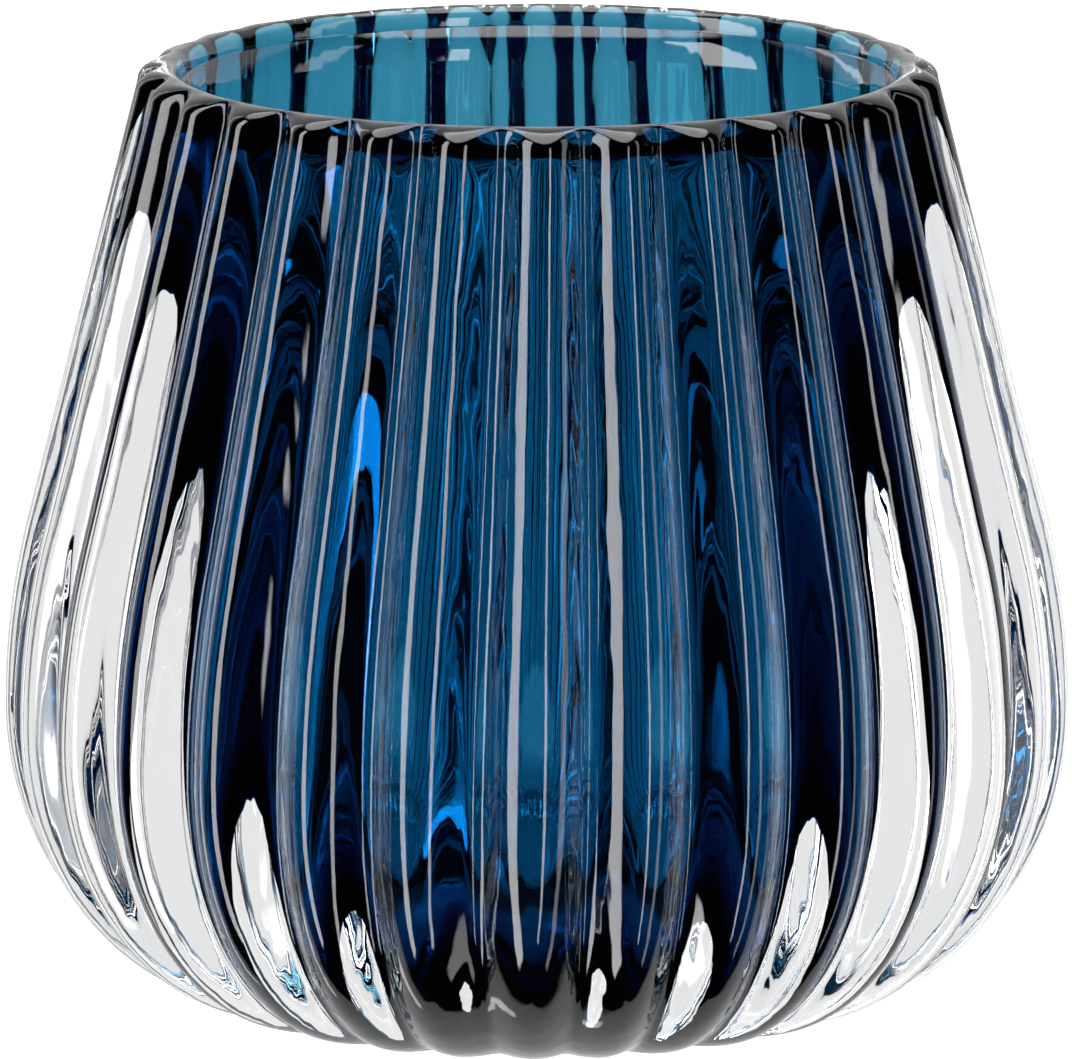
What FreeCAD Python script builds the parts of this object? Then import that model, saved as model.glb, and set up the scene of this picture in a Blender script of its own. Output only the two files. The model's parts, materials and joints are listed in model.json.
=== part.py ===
"""A low ribbed glass vase: a thick clear body cased over a thin blue inner cup.

Millimetres, +Z up. The origin is the centre of the foot, on the plane that the vase stands on.
The vase is round about Z. Its ribs run from the foot up over the outside of the rounded lip.
"""
import FreeCAD, Part
import math
import os

# ---- driving dimensions ----------------------------------------------------------------------
HEIGHT = 80.0             # foot plane to the top of the lip
BELLY_RADIUS = 45.6       # over the rib crests, at the widest point
BELLY_HEIGHT = 25.5       # height of the widest point
WALL_LEAN = 14.4          # degrees that the wall above the belly leans inward
BELLY_BLEND = 16.5        # height above the belly over which the wall bends into that lean

FOOT_CURVE_RADIUS = 22.5  # radial half-axis of the ellipse that rounds the body into the foot
FOOT_CURVE_DROP = 25.9    # vertical half-axis of that ellipse; its tip lies under the foot plane
FOOT_RING_INNER = 21.0    # inner edge of the flat ring that the vase stands on
FOOT_RECESS = 1.4         # depth of the shallow dome under the base

RIB_COUNT = 30
RIB_CREST_AT = -0.6       # degrees from -Y towards +X, the place of one rib crest
RIB_DEPTH_RATIO = 0.062   # groove depth over the local radius
RIB_SOFTNESS = 0.25       # 0 gives knife-sharp grooves, larger values round them

LIP_RISE = 1.8            # height of the rounded lip
LIP_RIDGE = 31.6          # radius to the middle of the top of the lip
LIP_LAND = 0.3            # width of the flat on top of the lip
MOUTH_RADIUS = 30.3       # clear opening inside the lip

LINER_WALL = 0.8          # thickness of the blue glass
MOUTH_STRAIGHT = 6.8      # straight stretch of the blue cup at the mouth
CAVITY_RADIUS = 27.1      # inner radius of the blue cup below the mouth
CAVITY_EASE = 20.0        # height of the double curve between the two radii
CAVITY_FLOOR = 11.5       # height of the inside floor
CAVITY_CORNER = 15.0      # radius that rounds the wall into the floor

STEPS_PER_RIB = 4
SECTIONS_BELOW_BELLY = 6
SECTIONS_ON_LIP = 4
SECTION_STEP = 6.0        # height between sections on the wall, at most

# ---- values worked out from them -------------------------------------------------------------
LEAN = math.radians(WALL_LEAN)
BLEND_ARC = BELLY_BLEND / math.sin(LEAN)
BLEND_TOP_RADIUS = BELLY_RADIUS - BLEND_ARC * (1.0 - math.cos(LEAN))
LIP_BASE = HEIGHT - LIP_RISE
LIP_OUTER = BLEND_TOP_RADIUS - (LIP_BASE - BELLY_HEIGHT - BELLY_BLEND) * math.tan(LEAN)


def crest_radius(z):
    """Radius over the rib crests below the lip: an ellipse, an arc and a straight cone, all tangent."""
    if z <= BELLY_HEIGHT:
        drop = (BELLY_HEIGHT - z) / FOOT_CURVE_DROP
        return BELLY_RADIUS - FOOT_CURVE_RADIUS * (1.0 - math.sqrt(1.0 - drop * drop))
    rise = z - BELLY_HEIGHT
    if rise <= BELLY_BLEND:
        return BELLY_RADIUS - BLEND_ARC + math.sqrt(BLEND_ARC ** 2 - rise ** 2)
    return BLEND_TOP_RADIUS - (rise - BELLY_BLEND) * math.tan(LEAN)


def groove_share(angle):
    """0 on a rib crest and 1 in a groove: convex lobes that meet in softly rounded grooves."""
    wave = math.cos(0.5 * RIB_COUNT * (angle - math.radians(RIB_CREST_AT)))
    softened = math.hypot(wave, RIB_SOFTNESS) - RIB_SOFTNESS
    return 1.0 - softened / (math.hypot(1.0, RIB_SOFTNESS) - RIB_SOFTNESS)


def ribbed_section(crest, depth, z):
    """The closed outline at height z: one curve for each rib, from groove to groove."""
    curves = []
    for rib in range(RIB_COUNT):
        points = []
        for number in range(STEPS_PER_RIB + 1):
            turns = (rib - 0.5 + number / STEPS_PER_RIB) / RIB_COUNT
            angle = math.radians(RIB_CREST_AT) + 2.0 * math.pi * turns
            radius = crest - depth * groove_share(angle)
            points.append(FreeCAD.Vector(radius * math.sin(angle), -radius * math.cos(angle), z))
        curve = Part.BSplineCurve()
        curve.interpolate(Points=points)
        curves.append(curve.toShape())
    return Part.Wire(curves)


def body_sections():
    """Sections from the foot to the top of the lip, close together where the profile turns."""
    start = math.asin(BELLY_HEIGHT / FOOT_CURVE_DROP)
    heights = []
    for number in range(SECTIONS_BELOW_BELLY):
        angle = start * (1.0 - number / SECTIONS_BELOW_BELLY)
        heights.append(BELLY_HEIGHT - FOOT_CURVE_DROP * math.sin(angle))
    wall_steps = math.ceil((LIP_BASE - BELLY_HEIGHT) / SECTION_STEP)
    for number in range(wall_steps + 1):
        heights.append(BELLY_HEIGHT + (LIP_BASE - BELLY_HEIGHT) * number / wall_steps)
    sections = []
    for z in heights:
        sections.append(ribbed_section(crest_radius(z), RIB_DEPTH_RATIO * crest_radius(z), z))
    return sections + lip_sections()


def lip_sections():
    """The outer rounding of the lip, over which the grooves fade to nothing."""
    width = LIP_OUTER - LIP_RIDGE - LIP_LAND / 2.0
    sections = []
    for number in range(1, SECTIONS_ON_LIP + 1):
        angle = 0.5 * math.pi * number / SECTIONS_ON_LIP
        radius = LIP_OUTER - width * (1.0 - math.cos(angle))
        depth = RIB_DEPTH_RATIO * LIP_OUTER * math.cos(angle)
        sections.append(ribbed_section(radius, depth, LIP_BASE + LIP_RISE * math.sin(angle)))
    return sections


def place(point):
    """A point (radius, height) of an outline as a vector in the XZ plane."""
    return FreeCAD.Vector(point[0], 0, point[1])


def line(start, end):
    return Part.LineSegment(place(start), place(end)).toShape()


def arc(start, middle, end):
    return Part.Arc(place(start), place(middle), place(end)).toShape()


def turned(edges):
    """A solid of revolution about Z from a closed list of edges in the XZ plane."""
    face = Part.Face(Part.Wire(edges))
    return face.revolve(FreeCAD.Vector(0, 0, 0), FreeCAD.Vector(0, 0, 1), 360)


def ease_arcs(top, bottom):
    """Two equal arcs that lead from a vertical wall at top to a vertical wall at bottom."""
    step_in = top[0] - bottom[0]
    drop = top[1] - bottom[1]
    radius = (drop ** 2 + step_in ** 2) / (4.0 * step_in)
    half_turn = math.asin(drop / (2.0 * radius)) / 2.0
    sag_in = radius * (1.0 - math.cos(half_turn))
    sag_down = radius * math.sin(half_turn)
    middle = ((top[0] + bottom[0]) / 2.0, (top[1] + bottom[1]) / 2.0)
    upper = arc(top, (top[0] - sag_in, top[1] - sag_down), middle)
    lower = arc(middle, (bottom[0] + sag_in, bottom[1] + sag_down), bottom)
    return [upper, lower]


def cup_solid(offset):
    """The solid that fills the blue cup's inside, grown by offset all round below the lip."""
    mouth = MOUTH_RADIUS + offset
    wall = CAVITY_RADIUS + offset
    floor = CAVITY_FLOOR - offset
    corner = CAVITY_CORNER + offset
    bend = corner * math.sqrt(0.5)
    ease_top = (mouth, LIP_BASE - MOUTH_STRAIGHT)
    ease_bottom = (wall, ease_top[1] - CAVITY_EASE)
    corner_top = (wall, floor + corner)
    corner_middle = (wall - corner + bend, floor + corner - bend)
    corner_end = (wall - corner, floor)
    edges = [
        line((0, floor), corner_end),
        arc(corner_end, corner_middle, corner_top),
        line(corner_top, ease_bottom),
    ]
    edges += reversed(ease_arcs(ease_top, ease_bottom))
    edges += [
        line(ease_top, (mouth, LIP_BASE)),
        line((mouth, LIP_BASE), (0, LIP_BASE)),
        line((0, LIP_BASE), (0, floor)),
    ]
    return turned(edges)


def mouth_cutter():
    """The opening above the blue cup, with the inner side of the rounded lip."""
    lip_edge = LIP_RIDGE - LIP_LAND / 2.0
    bend = math.sqrt(0.5)
    middle = (lip_edge - (lip_edge - MOUTH_RADIUS) * bend, LIP_BASE + LIP_RISE * bend)
    curve = arc((MOUTH_RADIUS, LIP_BASE), middle, (lip_edge, HEIGHT))
    above = HEIGHT + LIP_RISE
    return turned([
        line((0, LIP_BASE), (MOUTH_RADIUS, LIP_BASE)),
        curve,
        line((lip_edge, HEIGHT), (lip_edge, above)),
        line((lip_edge, above), (0, above)),
        line((0, above), (0, LIP_BASE)),
    ])


def foot_dome():
    """The shallow spherical hollow inside the foot ring."""
    radius = (FOOT_RING_INNER ** 2 + FOOT_RECESS ** 2) / (2.0 * FOOT_RECESS)
    return Part.makeSphere(radius, FreeCAD.Vector(0, 0, FOOT_RECESS - radius))


def clear_body():
    block = Part.makeLoft(body_sections(), True, False)
    return block.cut([cup_solid(LINER_WALL), mouth_cutter(), foot_dome()])


def blue_liner():
    return cup_solid(LINER_WALL).cut(cup_solid(0.0))


def write_parts():
    os.makedirs("parts", exist_ok=True)
    for name, shape in (("clear_body", clear_body()), ("blue_liner", blue_liner())):
        if len(shape.Solids) != 1 or not shape.isValid():
            raise ValueError(f"{name} is not one valid solid")
        shape.Solids[0].exportStep(f"parts/{name}.step")
        print(name, "volume", round(shape.Volume), "mm3")


write_parts()
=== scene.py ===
"""Looks of the ribbed glass vase: two glass meshes, their materials, a floor, light and a camera.

Everything is in metres in the model's frame: origin at the centre of the foot, +Z up. The camera
looks from -Y, a little above the vase.
"""
import json
import math

import bpy
import numpy as np
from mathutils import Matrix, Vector


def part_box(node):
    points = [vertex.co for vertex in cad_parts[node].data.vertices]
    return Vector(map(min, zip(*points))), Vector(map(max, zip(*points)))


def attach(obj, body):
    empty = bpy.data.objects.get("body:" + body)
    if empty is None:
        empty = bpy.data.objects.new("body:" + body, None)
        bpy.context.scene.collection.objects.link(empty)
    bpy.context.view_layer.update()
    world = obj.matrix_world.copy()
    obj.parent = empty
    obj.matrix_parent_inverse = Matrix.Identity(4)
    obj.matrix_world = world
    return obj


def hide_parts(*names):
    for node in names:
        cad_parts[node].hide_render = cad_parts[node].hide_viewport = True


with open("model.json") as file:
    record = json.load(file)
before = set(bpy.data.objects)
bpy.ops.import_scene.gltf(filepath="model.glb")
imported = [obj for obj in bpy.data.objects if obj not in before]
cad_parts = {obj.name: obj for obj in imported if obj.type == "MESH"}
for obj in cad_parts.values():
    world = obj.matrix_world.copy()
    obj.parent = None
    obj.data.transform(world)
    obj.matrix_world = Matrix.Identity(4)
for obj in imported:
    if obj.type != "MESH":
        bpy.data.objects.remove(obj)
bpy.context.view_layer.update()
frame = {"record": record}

MM = 0.001

# ---- sizes taken from the frame --------------------------------------------------------------
MOUNTS = {mount["name"]: mount for mount in frame["record"]["mounts"]}
LINER_LOW, LINER_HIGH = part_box("blue_liner")
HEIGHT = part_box("clear_body")[1].z
LIP_BASE = LINER_HIGH.z                    # the blue cup stops at the base of the lip
LIP_RISE = HEIGHT - LIP_BASE
MOUTH_RADIUS = MOUNTS["mouth"]["dims"]["r_mm"] * MM
LINER_WALL = LINER_HIGH.x - MOUTH_RADIUS
CAVITY_FLOOR = LINER_LOW.z + LINER_WALL

# ---- the profile, as in the CAD model --------------------------------------------------------
DESIGN_MM = HEIGHT / 80.0                  # one millimetre of the design, which is 80 mm high
BELLY_RADIUS = 45.6 * DESIGN_MM
BELLY_HEIGHT = 25.5 * DESIGN_MM
BELLY_BLEND = 16.5 * DESIGN_MM
WALL_LEAN = math.radians(14.4)
FOOT_CURVE_RADIUS = 22.5 * DESIGN_MM
FOOT_CURVE_DROP = 25.9 * DESIGN_MM
FOOT_RING_INNER = 21.0 * DESIGN_MM
FOOT_RECESS = 1.4 * DESIGN_MM
LIP_RIDGE = 31.6 * DESIGN_MM
LIP_LAND = 0.3 * DESIGN_MM
MOUTH_STRAIGHT = 6.8 * DESIGN_MM
CAVITY_RADIUS = 27.1 * DESIGN_MM
CAVITY_EASE = 20.0 * DESIGN_MM
CAVITY_CORNER = 15.0 * DESIGN_MM

BLEND_ARC = BELLY_BLEND / math.sin(WALL_LEAN)
BLEND_TOP = BELLY_HEIGHT + BELLY_BLEND
BLEND_TOP_RADIUS = BELLY_RADIUS - BLEND_ARC * (1.0 - math.cos(WALL_LEAN))
LIP_OUTER = BLEND_TOP_RADIUS - (LIP_BASE - BLEND_TOP) * math.tan(WALL_LEAN)
OUTER_LIP_WIDTH = LIP_OUTER - LIP_RIDGE - LIP_LAND / 2.0
INNER_LIP_WIDTH = LIP_RIDGE - LIP_LAND / 2.0 - MOUTH_RADIUS

RIB_COUNT = 30
RIB_CREST_AT = math.radians(-0.6)
RIB_DEPTH_RATIO = 0.062
RIB_SOFTNESS = 0.25

# ---- small features of the visual model only -------------------------------------------------
# unevenness of the pressed ribs: (degrees, waves round the vase, start in degrees)
RIB_DRIFT = ((0.35, 3, 135.0), (0.3, 7, 20.0), (0.25, 11, 75.0))
RIB_TWIST = math.radians(1.8)              # how far the ribs wander round from the foot to the lip
BLUE_TOP = HEIGHT - 0.12 * MM              # the blue layer ends on the inner side of the lip
BLUE_FLARE = 0.25 * MM                     # how far its outside follows the lip outward
CONTACT_SKIN = 0.02 * MM                   # how deep it sits under the polished cavity wall

# ---- mesh density ----------------------------------------------------------------------------
COLUMNS_PER_RIB = 20
LINER_COLUMNS = 240
FLOOR_RINGS = (0.8, 0.6, 0.4, 0.2, 0.08)   # shares of the radius of the cavity's flat floor
EDGE_OUTSIDE = (0.35, 0.65, 0.9)           # shares of the blue edge's rise, going up outside
EDGE_INSIDE = (1.0, 0.6, 0.25)             # and coming down inside


def spread(start, end, steps):
    """Numbers in equal steps from start to end, with both ends."""
    return [start + (end - start) * number / steps for number in range(steps + 1)]


def crest_radius(z):
    """Radius over the rib crests below the lip."""
    if z <= BELLY_HEIGHT:
        drop = (BELLY_HEIGHT - z) / FOOT_CURVE_DROP
        return BELLY_RADIUS - FOOT_CURVE_RADIUS * (1.0 - math.sqrt(1.0 - drop ** 2))
    if z <= BLEND_TOP:
        return BELLY_RADIUS - BLEND_ARC + math.sqrt(BLEND_ARC ** 2 - (z - BELLY_HEIGHT) ** 2)
    return BLEND_TOP_RADIUS - (z - BLEND_TOP) * math.tan(WALL_LEAN)


def inner_lip_radius(share):
    """Radius of the lip's inner side, at this share of the lip's rise."""
    return MOUTH_RADIUS + INNER_LIP_WIDTH * (1.0 - math.sqrt(1.0 - share ** 2))


def groove_share(angles, z):
    """0 on a rib crest and 1 in a groove, at angles measured from -Y towards +X."""
    drift = RIB_TWIST * (z / HEIGHT - 0.5)
    for size, waves, start in RIB_DRIFT:
        drift = drift + math.radians(size) * np.sin(waves * angles + math.radians(start))
    wave = np.cos(0.5 * RIB_COUNT * (angles - RIB_CREST_AT - drift))
    softened = np.hypot(wave, RIB_SOFTNESS) - RIB_SOFTNESS
    return 1.0 - softened / (math.hypot(1.0, RIB_SOFTNESS) - RIB_SOFTNESS)


# ---- profiles, as lists of (radius, height, groove depth) ------------------------------------
def foot_rows(steps=9):
    """The shallow dome under the base, from near the axis to the inner edge of the foot ring."""
    ball = (FOOT_RING_INNER ** 2 + FOOT_RECESS ** 2) / (2.0 * FOOT_RECESS)
    rows = []
    for radius in spread(0.0, FOOT_RING_INNER, steps)[1:]:
        rows.append((radius, math.sqrt(ball ** 2 - radius ** 2) - ball + FOOT_RECESS, 0.0))
    return rows


def wall_rows(foot_steps=26, blend_steps=16, wall_steps=18):
    """The ribbed outside, from the foot ring to the base of the lip."""
    foot_angle = math.asin(BELLY_HEIGHT / FOOT_CURVE_DROP)
    heights = [BELLY_HEIGHT - FOOT_CURVE_DROP * math.sin(angle)
               for angle in spread(foot_angle, 0.0, foot_steps)[:-1]]
    heights += spread(BELLY_HEIGHT, BLEND_TOP, blend_steps)[:-1]
    heights += spread(BLEND_TOP, LIP_BASE, wall_steps)
    return [(crest_radius(z), z, RIB_DEPTH_RATIO * crest_radius(z)) for z in heights]


def lip_rows(steps=10):
    """The rounded lip, with a small flat on top. The grooves fade over its outer side.

    Its last row repeats the first row of cavity_rows. The faces between the two have no area, and
    they tilt the smooth shading there, which draws a fine band just inside the rim.
    """
    turn = spread(0.0, math.pi / 2.0, steps)
    rows = []
    for angle in turn[1:]:
        radius = LIP_OUTER - OUTER_LIP_WIDTH * (1.0 - math.cos(angle))
        depth = RIB_DEPTH_RATIO * LIP_OUTER * math.cos(angle)
        rows.append((radius, LIP_BASE + LIP_RISE * math.sin(angle), depth))
    for angle in reversed(turn):
        share = math.sin(angle)
        rows.append((inner_lip_radius(share), LIP_BASE + LIP_RISE * share, 0.0))
    return rows


def cavity_rows(offset=0.0, ease_steps=16, corner_steps=16):
    """The cavity wall grown outward by offset, from the base of the lip to near the axis."""
    mouth = MOUTH_RADIUS + offset
    wall = CAVITY_RADIUS + offset
    floor = CAVITY_FLOOR - offset
    corner = CAVITY_CORNER + offset
    rows = [(mouth, LIP_BASE, 0.0), (mouth, LIP_BASE - MOUTH_STRAIGHT / 2.0, 0.0)]
    for part in spread(0.0, 1.0, ease_steps):
        smooth = 0.5 * (1.0 - math.cos(math.pi * part))
        height = LIP_BASE - MOUTH_STRAIGHT - CAVITY_EASE * part
        rows.append((mouth + (wall - mouth) * smooth, height, 0.0))
    for angle in spread(0.0, math.pi / 2.0, corner_steps):
        radius = wall - corner * (1.0 - math.cos(angle))
        rows.append((radius, floor + corner * (1.0 - math.sin(angle)), 0.0))
    rows += [((wall - corner) * part, floor, 0.0) for part in FLOOR_RINGS]
    return rows


def blue_edge_rows():
    """The blue layer's edge, which thins away over the inner side of the lip."""
    rise = BLUE_TOP - LIP_BASE
    rows = []
    for part in EDGE_OUTSIDE:
        radius = MOUTH_RADIUS + LINER_WALL + BLUE_FLARE * part ** 2
        rows.append((radius, LIP_BASE + rise * part, 0.0))
    for part in EDGE_INSIDE:
        radius = inner_lip_radius(rise * part / LIP_RISE) + CONTACT_SKIN
        rows.append((radius, LIP_BASE + rise * part, 0.0))
    return rows


# ---- meshes ----------------------------------------------------------------------------------
def turned_mesh(name, rows, columns):
    """A closed mesh from rows that start and end near the axis, grooved where a row asks for it."""
    angles = np.linspace(0.0, 2.0 * math.pi, columns, endpoint=False)
    rings = []
    for radius, height, depth in rows:
        ring = radius - depth * groove_share(angles, height)
        heights = np.full(columns, height)
        rings.append(np.stack([ring * np.sin(angles), -ring * np.cos(angles), heights], axis=1))
    poles = np.array([[0.0, 0.0, rows[0][1]], [0.0, 0.0, rows[-1][1]]])
    points = np.concatenate(rings + [poles])

    first_pole = len(rows) * columns
    last_pole = first_pole + 1
    last_ring = first_pole - columns
    faces = []
    for column in range(columns):
        beside = (column + 1) % columns
        faces.append((first_pole, beside, column))
        for low in range(0, last_ring, columns):
            high = low + columns
            faces.append((low + column, low + beside, high + beside, high + column))
        faces.append((last_pole, last_ring + column, last_ring + beside))

    mesh = bpy.data.meshes.new(name)
    mesh.from_pydata(points.tolist(), [], faces)
    mesh.update()
    mesh.shade_smooth()
    piece = bpy.data.objects.new(name, mesh)
    bpy.context.scene.collection.objects.link(piece)
    return piece


def clear_glass_piece():
    """The whole glass, outside and cavity wall: the blue layer lies inside it, in optical contact."""
    rows = foot_rows() + wall_rows() + lip_rows() + cavity_rows()
    return turned_mesh("clear_glass", rows, RIB_COUNT * COLUMNS_PER_RIB)


def blue_glass_piece():
    """The blue layer: a thin cup just under the cavity wall, that reaches up into the lip."""
    rows = cavity_rows(LINER_WALL)[::-1] + blue_edge_rows() + cavity_rows(CONTACT_SKIN)
    return turned_mesh("blue_glass", rows, LINER_COLUMNS)


# ---- materials -------------------------------------------------------------------------------
WHITE = (1.0, 1.0, 1.0, 1.0)

GLASS_IOR = 1.5
FLOW_SIZE = 2.8 * MM                       # width of the flow lines in the clear glass
FLOW_STRETCH = 9.0                         # how many times longer than wide they are
FLOW_DETAIL = 1.5
FLOW_DEPTH = 0.20 * MM
FLOW_STRENGTH = 0.5
SCUFF_ROUGHNESS = 0.35                     # of the foot ring, which rubs on the table
SCUFF_FULL = 0.1 * MM                      # height up to which the scuffing is full
SCUFF_GONE = 0.7 * MM                      # and from which there is none

CONTACT_IOR = 1.0                          # the blue meets the clear with no gap: nothing bends
BLUE_PASS = (0.045, 0.285, 0.44)           # red, green and blue light left after the blue layer
STREAK_SIZE = 1.2 * MM                     # width of the streaks in the blue
STREAK_STRETCH = 14.0
STREAK_DETAIL = 2.0
STREAK_TINT = (0.86, 0.94, 0.97, 1.0)
STREAK_RANGE = (0.35, 0.65)                # noise values from the tinted streaks to the plain blue


def set_inputs(node, values):
    """Gives a node's inputs the values listed under their names."""
    for name, value in values.items():
        node.inputs[name].default_value = value


def new_material(name):
    """A new material, its node tree, its main shader and its output."""
    material = bpy.data.materials.new(name)
    material.use_nodes = True
    tree = material.node_tree
    return material, tree, tree.nodes["Principled BSDF"], tree.nodes["Material Output"]


def glass_material(name, ior):
    """A polished glass, ready for its detail; returns what new_material does."""
    material, tree, shader, output = new_material(name)
    set_inputs(shader, {
        "Base Color": WHITE,
        "Transmission Weight": 1.0,
        "Roughness": 0.0,
        "IOR": ior,
    })
    return material, tree, shader, output


def drawn_noise(tree, size, stretch, detail):
    """Noise with features of one width, stretched along Z as drawn glass is."""
    place = tree.nodes.new("ShaderNodeTexCoord")
    mapping = tree.nodes.new("ShaderNodeMapping")
    noise = tree.nodes.new("ShaderNodeTexNoise")
    set_inputs(mapping, {"Scale": (1.0 / size, 1.0 / size, 1.0 / (size * stretch))})
    set_inputs(noise, {"Scale": 1.0, "Detail": detail})
    tree.links.new(place.outputs["Object"], mapping.inputs["Vector"])
    tree.links.new(mapping.outputs["Vector"], noise.inputs["Vector"])
    return noise.outputs["Fac"]


def flow_lines(tree):
    """A surface normal with long faint flow lines."""
    bump = tree.nodes.new("ShaderNodeBump")
    set_inputs(bump, {"Strength": FLOW_STRENGTH, "Distance": FLOW_DEPTH})
    noise = drawn_noise(tree, FLOW_SIZE, FLOW_STRETCH, FLOW_DETAIL)
    tree.links.new(noise, bump.inputs["Height"])
    return bump.outputs["Normal"]


def foot_scuffs(tree):
    """A roughness that is high on the foot ring and gone just above it."""
    place = tree.nodes.new("ShaderNodeTexCoord")
    split = tree.nodes.new("ShaderNodeSeparateXYZ")
    scuffs = tree.nodes.new("ShaderNodeMapRange")
    set_inputs(scuffs, {
        "From Min": SCUFF_FULL,
        "From Max": SCUFF_GONE,
        "To Min": SCUFF_ROUGHNESS,
        "To Max": 0.0,
    })
    tree.links.new(place.outputs["Object"], split.inputs["Vector"])
    tree.links.new(split.outputs["Z"], scuffs.inputs["Value"])
    return scuffs.outputs["Result"]


def clear_glass_material():
    """Clear pressed glass, polished, with flow lines in its surface and a scuffed foot ring."""
    material, tree, shader, output = glass_material("clear_glass", GLASS_IOR)
    tree.links.new(flow_lines(tree), shader.inputs["Normal"])
    tree.links.new(foot_scuffs(tree), shader.inputs["Roughness"])
    return material


def blue_streaks(tree):
    """A colour that is mostly white, with faint bluish streaks."""
    ramp = tree.nodes.new("ShaderNodeValToRGB")
    tinted, plain = ramp.color_ramp.elements
    tinted.position, plain.position = STREAK_RANGE
    tinted.color = STREAK_TINT
    plain.color = WHITE
    noise = drawn_noise(tree, STREAK_SIZE, STREAK_STRETCH, STREAK_DETAIL)
    tree.links.new(noise, ramp.inputs["Fac"])
    return ramp.outputs["Color"]


def blue_depth(tree):
    """A volume that leaves BLUE_PASS of the light that crosses the blue layer once."""
    absorbed = [-math.log(share) / LINER_WALL for share in BLUE_PASS]
    density = max(absorbed)
    kept = [1.0 - one / density for one in absorbed]
    volume = tree.nodes.new("ShaderNodeVolumeAbsorption")
    set_inputs(volume, {"Color": (*kept, 1.0), "Density": density})
    return volume.outputs["Volume"]


def blue_glass_material():
    """Blue glass, coloured in its depth. The clear glass around it does the bending of light."""
    material, tree, shader, output = glass_material("blue_glass", CONTACT_IOR)
    tree.links.new(blue_streaks(tree), shader.inputs["Base Color"])
    tree.links.new(blue_depth(tree), output.inputs["Volume"])
    return material


# ---- floor -----------------------------------------------------------------------------------
FLOOR_REACH = 40.0                         # metres, so that its far edge meets the horizon
FLOOR_DROP = 0.05 * MM                     # keeps it clear of the foot
FLOOR_COLOUR = (0.92, 0.92, 0.92, 1.0)
FLOOR_ROUGHNESS = 0.8
FLOOR_GLOW = 0.75


def mixed_for_camera(tree, other_rays, camera_rays):
    """A shader that is one thing to the camera and another to all other light."""
    paths = tree.nodes.new("ShaderNodeLightPath")
    mixed = tree.nodes.new("ShaderNodeMixShader")
    tree.links.new(paths.outputs["Is Camera Ray"], mixed.inputs["Fac"])
    tree.links.new(other_rays, mixed.inputs[1])
    tree.links.new(camera_rays, mixed.inputs[2])
    return mixed.outputs["Shader"]


def floor_material():
    """A pale, faintly glowing floor that the glass looks through, at the studio's white sweep."""
    material, tree, shader, output = new_material("pale_floor")
    set_inputs(shader, {
        "Base Color": FLOOR_COLOUR,
        "Roughness": FLOOR_ROUGHNESS,
        "Emission Color": WHITE,
        "Emission Strength": FLOOR_GLOW,
    })
    through = tree.nodes.new("ShaderNodeBsdfTransparent")
    surface = mixed_for_camera(tree, through.outputs["BSDF"], shader.outputs["BSDF"])
    tree.links.new(surface, output.inputs["Surface"])
    return material


def floor_stage():
    """A wide flat floor just under the foot."""
    corners = []
    for across, along in ((-1, -1), (1, -1), (1, 1), (-1, 1)):
        corners.append((across * FLOOR_REACH, along * FLOOR_REACH, -FLOOR_DROP))
    mesh = bpy.data.meshes.new("floor")
    mesh.from_pydata(corners, [], [(0, 1, 2, 3)])
    mesh.materials.append(floor_material())
    floor = bpy.data.objects.new("floor", mesh)
    bpy.context.scene.collection.objects.link(floor)


# ---- camera, at the photograph's viewing angle -----------------------------------------------
CAMERA_DISTANCE = 1.10                     # metres from the middle of the vase
CAMERA_ELEVATION = math.radians(11.56)
SENSOR_WIDTH = 36.0                        # millimetres
FOCAL_LENGTH = 433.3                       # millimetres
CENTRE_SHIFT = (-0.0023, -0.0025)          # shares of the frame's width


def camera():
    """Looks at the middle of the vase from -Y and above, through a long lens."""
    data = bpy.data.cameras.new("camera")
    data.sensor_width = SENSOR_WIDTH
    data.lens = FOCAL_LENGTH
    data.shift_x, data.shift_y = CENTRE_SHIFT
    back = CAMERA_DISTANCE * math.cos(CAMERA_ELEVATION)
    above = CAMERA_DISTANCE * math.sin(CAMERA_ELEVATION)
    aim = Vector((0.0, 0.0, HEIGHT / 2.0))
    holder = bpy.data.objects.new("camera", data)
    holder.location = aim + Vector((0.0, -back, above))
    holder.rotation_euler = (aim - holder.location).to_track_quat("-Z", "Y").to_euler()
    bpy.context.scene.collection.objects.link(holder)
    bpy.context.scene.camera = holder


# ---- light -----------------------------------------------------------------------------------
# (azimuth from, to, elevation from, to, strength, softness), with the angles and the softness of
# the edges in degrees; azimuth 0 is behind the vase, +X is +90 and the camera's side is 180
STUDIO_LIGHTS = (
    (-66.0, 66.0, -90.0, 70.0, 0.84, 10.0),    # the white sweep behind the vase
    (-54.0, -48.0, -60.0, 50.0, 3.0, 3.0),     # strip light behind on the left
    (-124.0, -104.0, -60.0, 50.0, 8.0, 3.0),   # tall soft light on the left
    (148.0, 156.0, -60.0, 30.0, 7.5, 2.0),     # narrow one in front on the right
    (96.0, 106.0, -60.0, 45.0, 2.5, 3.0),      # dimmer one on the right
    (-181.0, 181.0, 58.0, 91.0, 5.0, 6.0),     # overhead light
)
DIM = 0.015                                # brightness of the dark side of the studio

MOST_BOUNCES = 24
GLOSSY_BOUNCES = 12


def node_math(tree, operation, *inputs):
    """The result of one operation on numbers or other nodes' results."""
    node = tree.nodes.new("ShaderNodeMath")
    node.operation = operation
    for socket, source in zip(node.inputs, inputs):
        if isinstance(source, float):
            socket.default_value = source
        else:
            tree.links.new(source, socket)
    return node.outputs["Value"]


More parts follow.
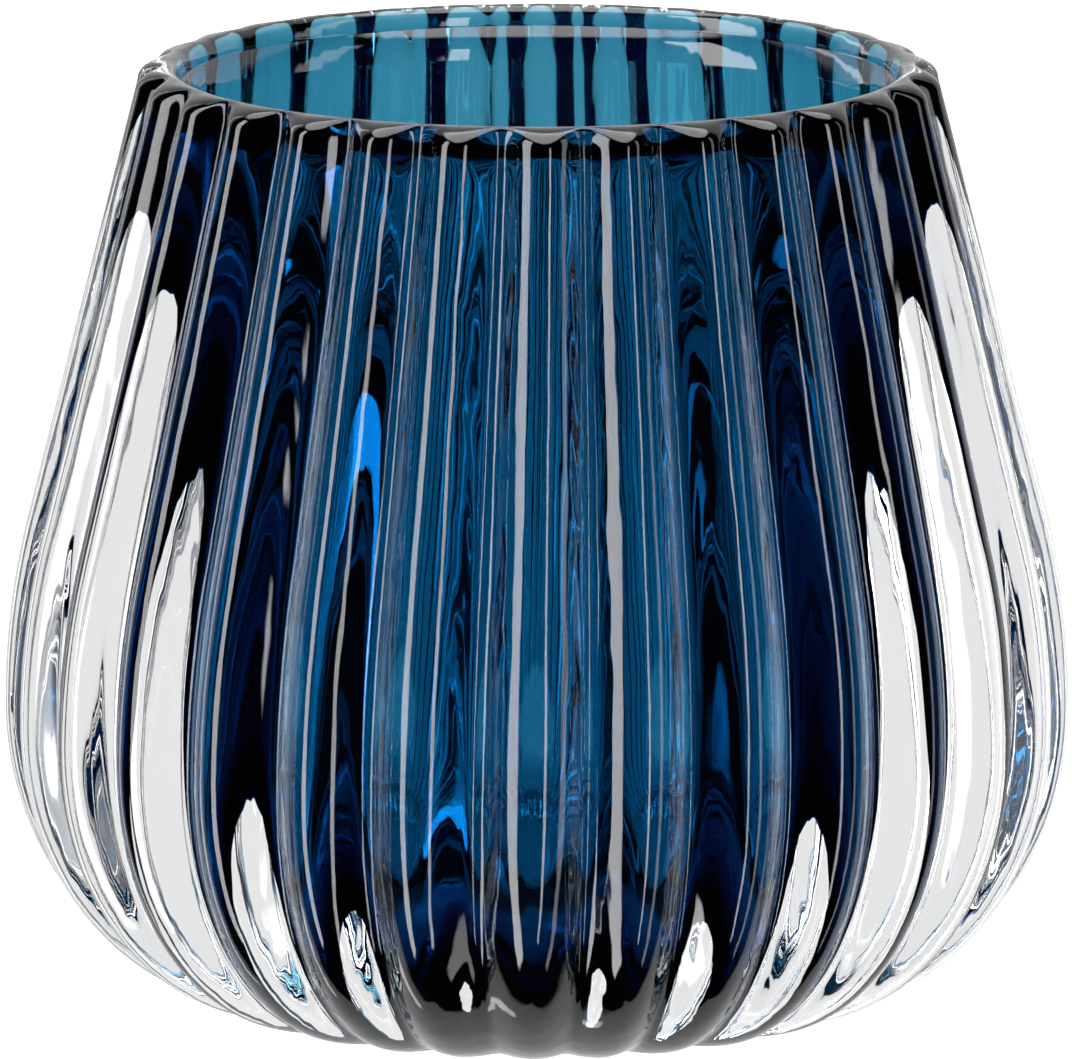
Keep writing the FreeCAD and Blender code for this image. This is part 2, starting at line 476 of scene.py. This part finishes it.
def soft_step(tree, angle, edge, softness):
    """0 below the edge, 1 above it, and smooth between; edge and softness are in degrees."""
    node = tree.nodes.new("ShaderNodeMapRange")
    node.interpolation_type = "SMOOTHSTEP"
    set_inputs(node, {
        "From Min": math.radians(edge - softness / 2.0),
        "From Max": math.radians(edge + softness / 2.0),
    })
    tree.links.new(angle, node.inputs["Value"])
    return node.outputs["Result"]


def soft_band(tree, angle, low, high, softness):
    """1 between two angles and 0 outside them, with soft edges."""
    rising = soft_step(tree, angle, low, softness)
    falling = node_math(tree, "SUBTRACT", 1.0, soft_step(tree, angle, high, softness))
    return node_math(tree, "MULTIPLY", rising, falling)


def studio_brightness(tree):
    """How bright the studio is in each direction: the dark room and every light in it."""
    direction = tree.nodes.new("ShaderNodeTexCoord")
    split = tree.nodes.new("ShaderNodeSeparateXYZ")
    tree.links.new(direction.outputs["Generated"], split.inputs["Vector"])
    azimuth = node_math(tree, "ARCTAN2", split.outputs["X"], split.outputs["Y"])
    elevation = node_math(tree, "ARCSINE", split.outputs["Z"])
    brightness = DIM
    for left, right, low, high, strength, softness in STUDIO_LIGHTS:
        across = soft_band(tree, azimuth, left, right, softness)
        upward = soft_band(tree, elevation, low, high, softness)
        patch = node_math(tree, "MULTIPLY", across, upward)
        light = node_math(tree, "MULTIPLY", patch, strength)
        brightness = node_math(tree, "ADD", brightness, light)
    return brightness


def studio_world():
    """The studio as the glass sees it, and a plain white backdrop for the camera."""
    world = bpy.data.worlds.new("studio")
    world.use_nodes = True
    bpy.context.scene.world = world
    tree = world.node_tree
    studio = tree.nodes["Background"]
    set_inputs(studio, {"Color": WHITE})
    tree.links.new(studio_brightness(tree), studio.inputs["Strength"])
    backdrop = tree.nodes.new("ShaderNodeBackground")
    set_inputs(backdrop, {"Color": WHITE})
    seen = mixed_for_camera(tree, studio.outputs["Background"], backdrop.outputs["Background"])
    tree.links.new(seen, tree.nodes["World Output"].inputs["Surface"])


def light_paths():
    """Enough bounces for light to cross both glass walls and be trapped in a rib on the way."""
    cycles = bpy.context.scene.cycles
    cycles.max_bounces = MOST_BOUNCES
    cycles.transmission_bounces = MOST_BOUNCES
    cycles.glossy_bounces = GLOSSY_BOUNCES
    cycles.caustics_reflective = True
    cycles.caustics_refractive = True
    bpy.context.scene.view_settings.view_transform = "Standard"


# ---- the scene -------------------------------------------------------------------------------
def add_piece(piece, material, node):
    """Gives a piece its material, hangs it under the root body and hides the CAD node it stands for.
    """
    piece.data.materials.append(material)
    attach(piece, "root")
    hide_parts(node)


add_piece(clear_glass_piece(), clear_glass_material(), "clear_body")
add_piece(blue_glass_piece(), blue_glass_material(), "blue_liner")
floor_stage()
studio_world()
camera()
light_paths()
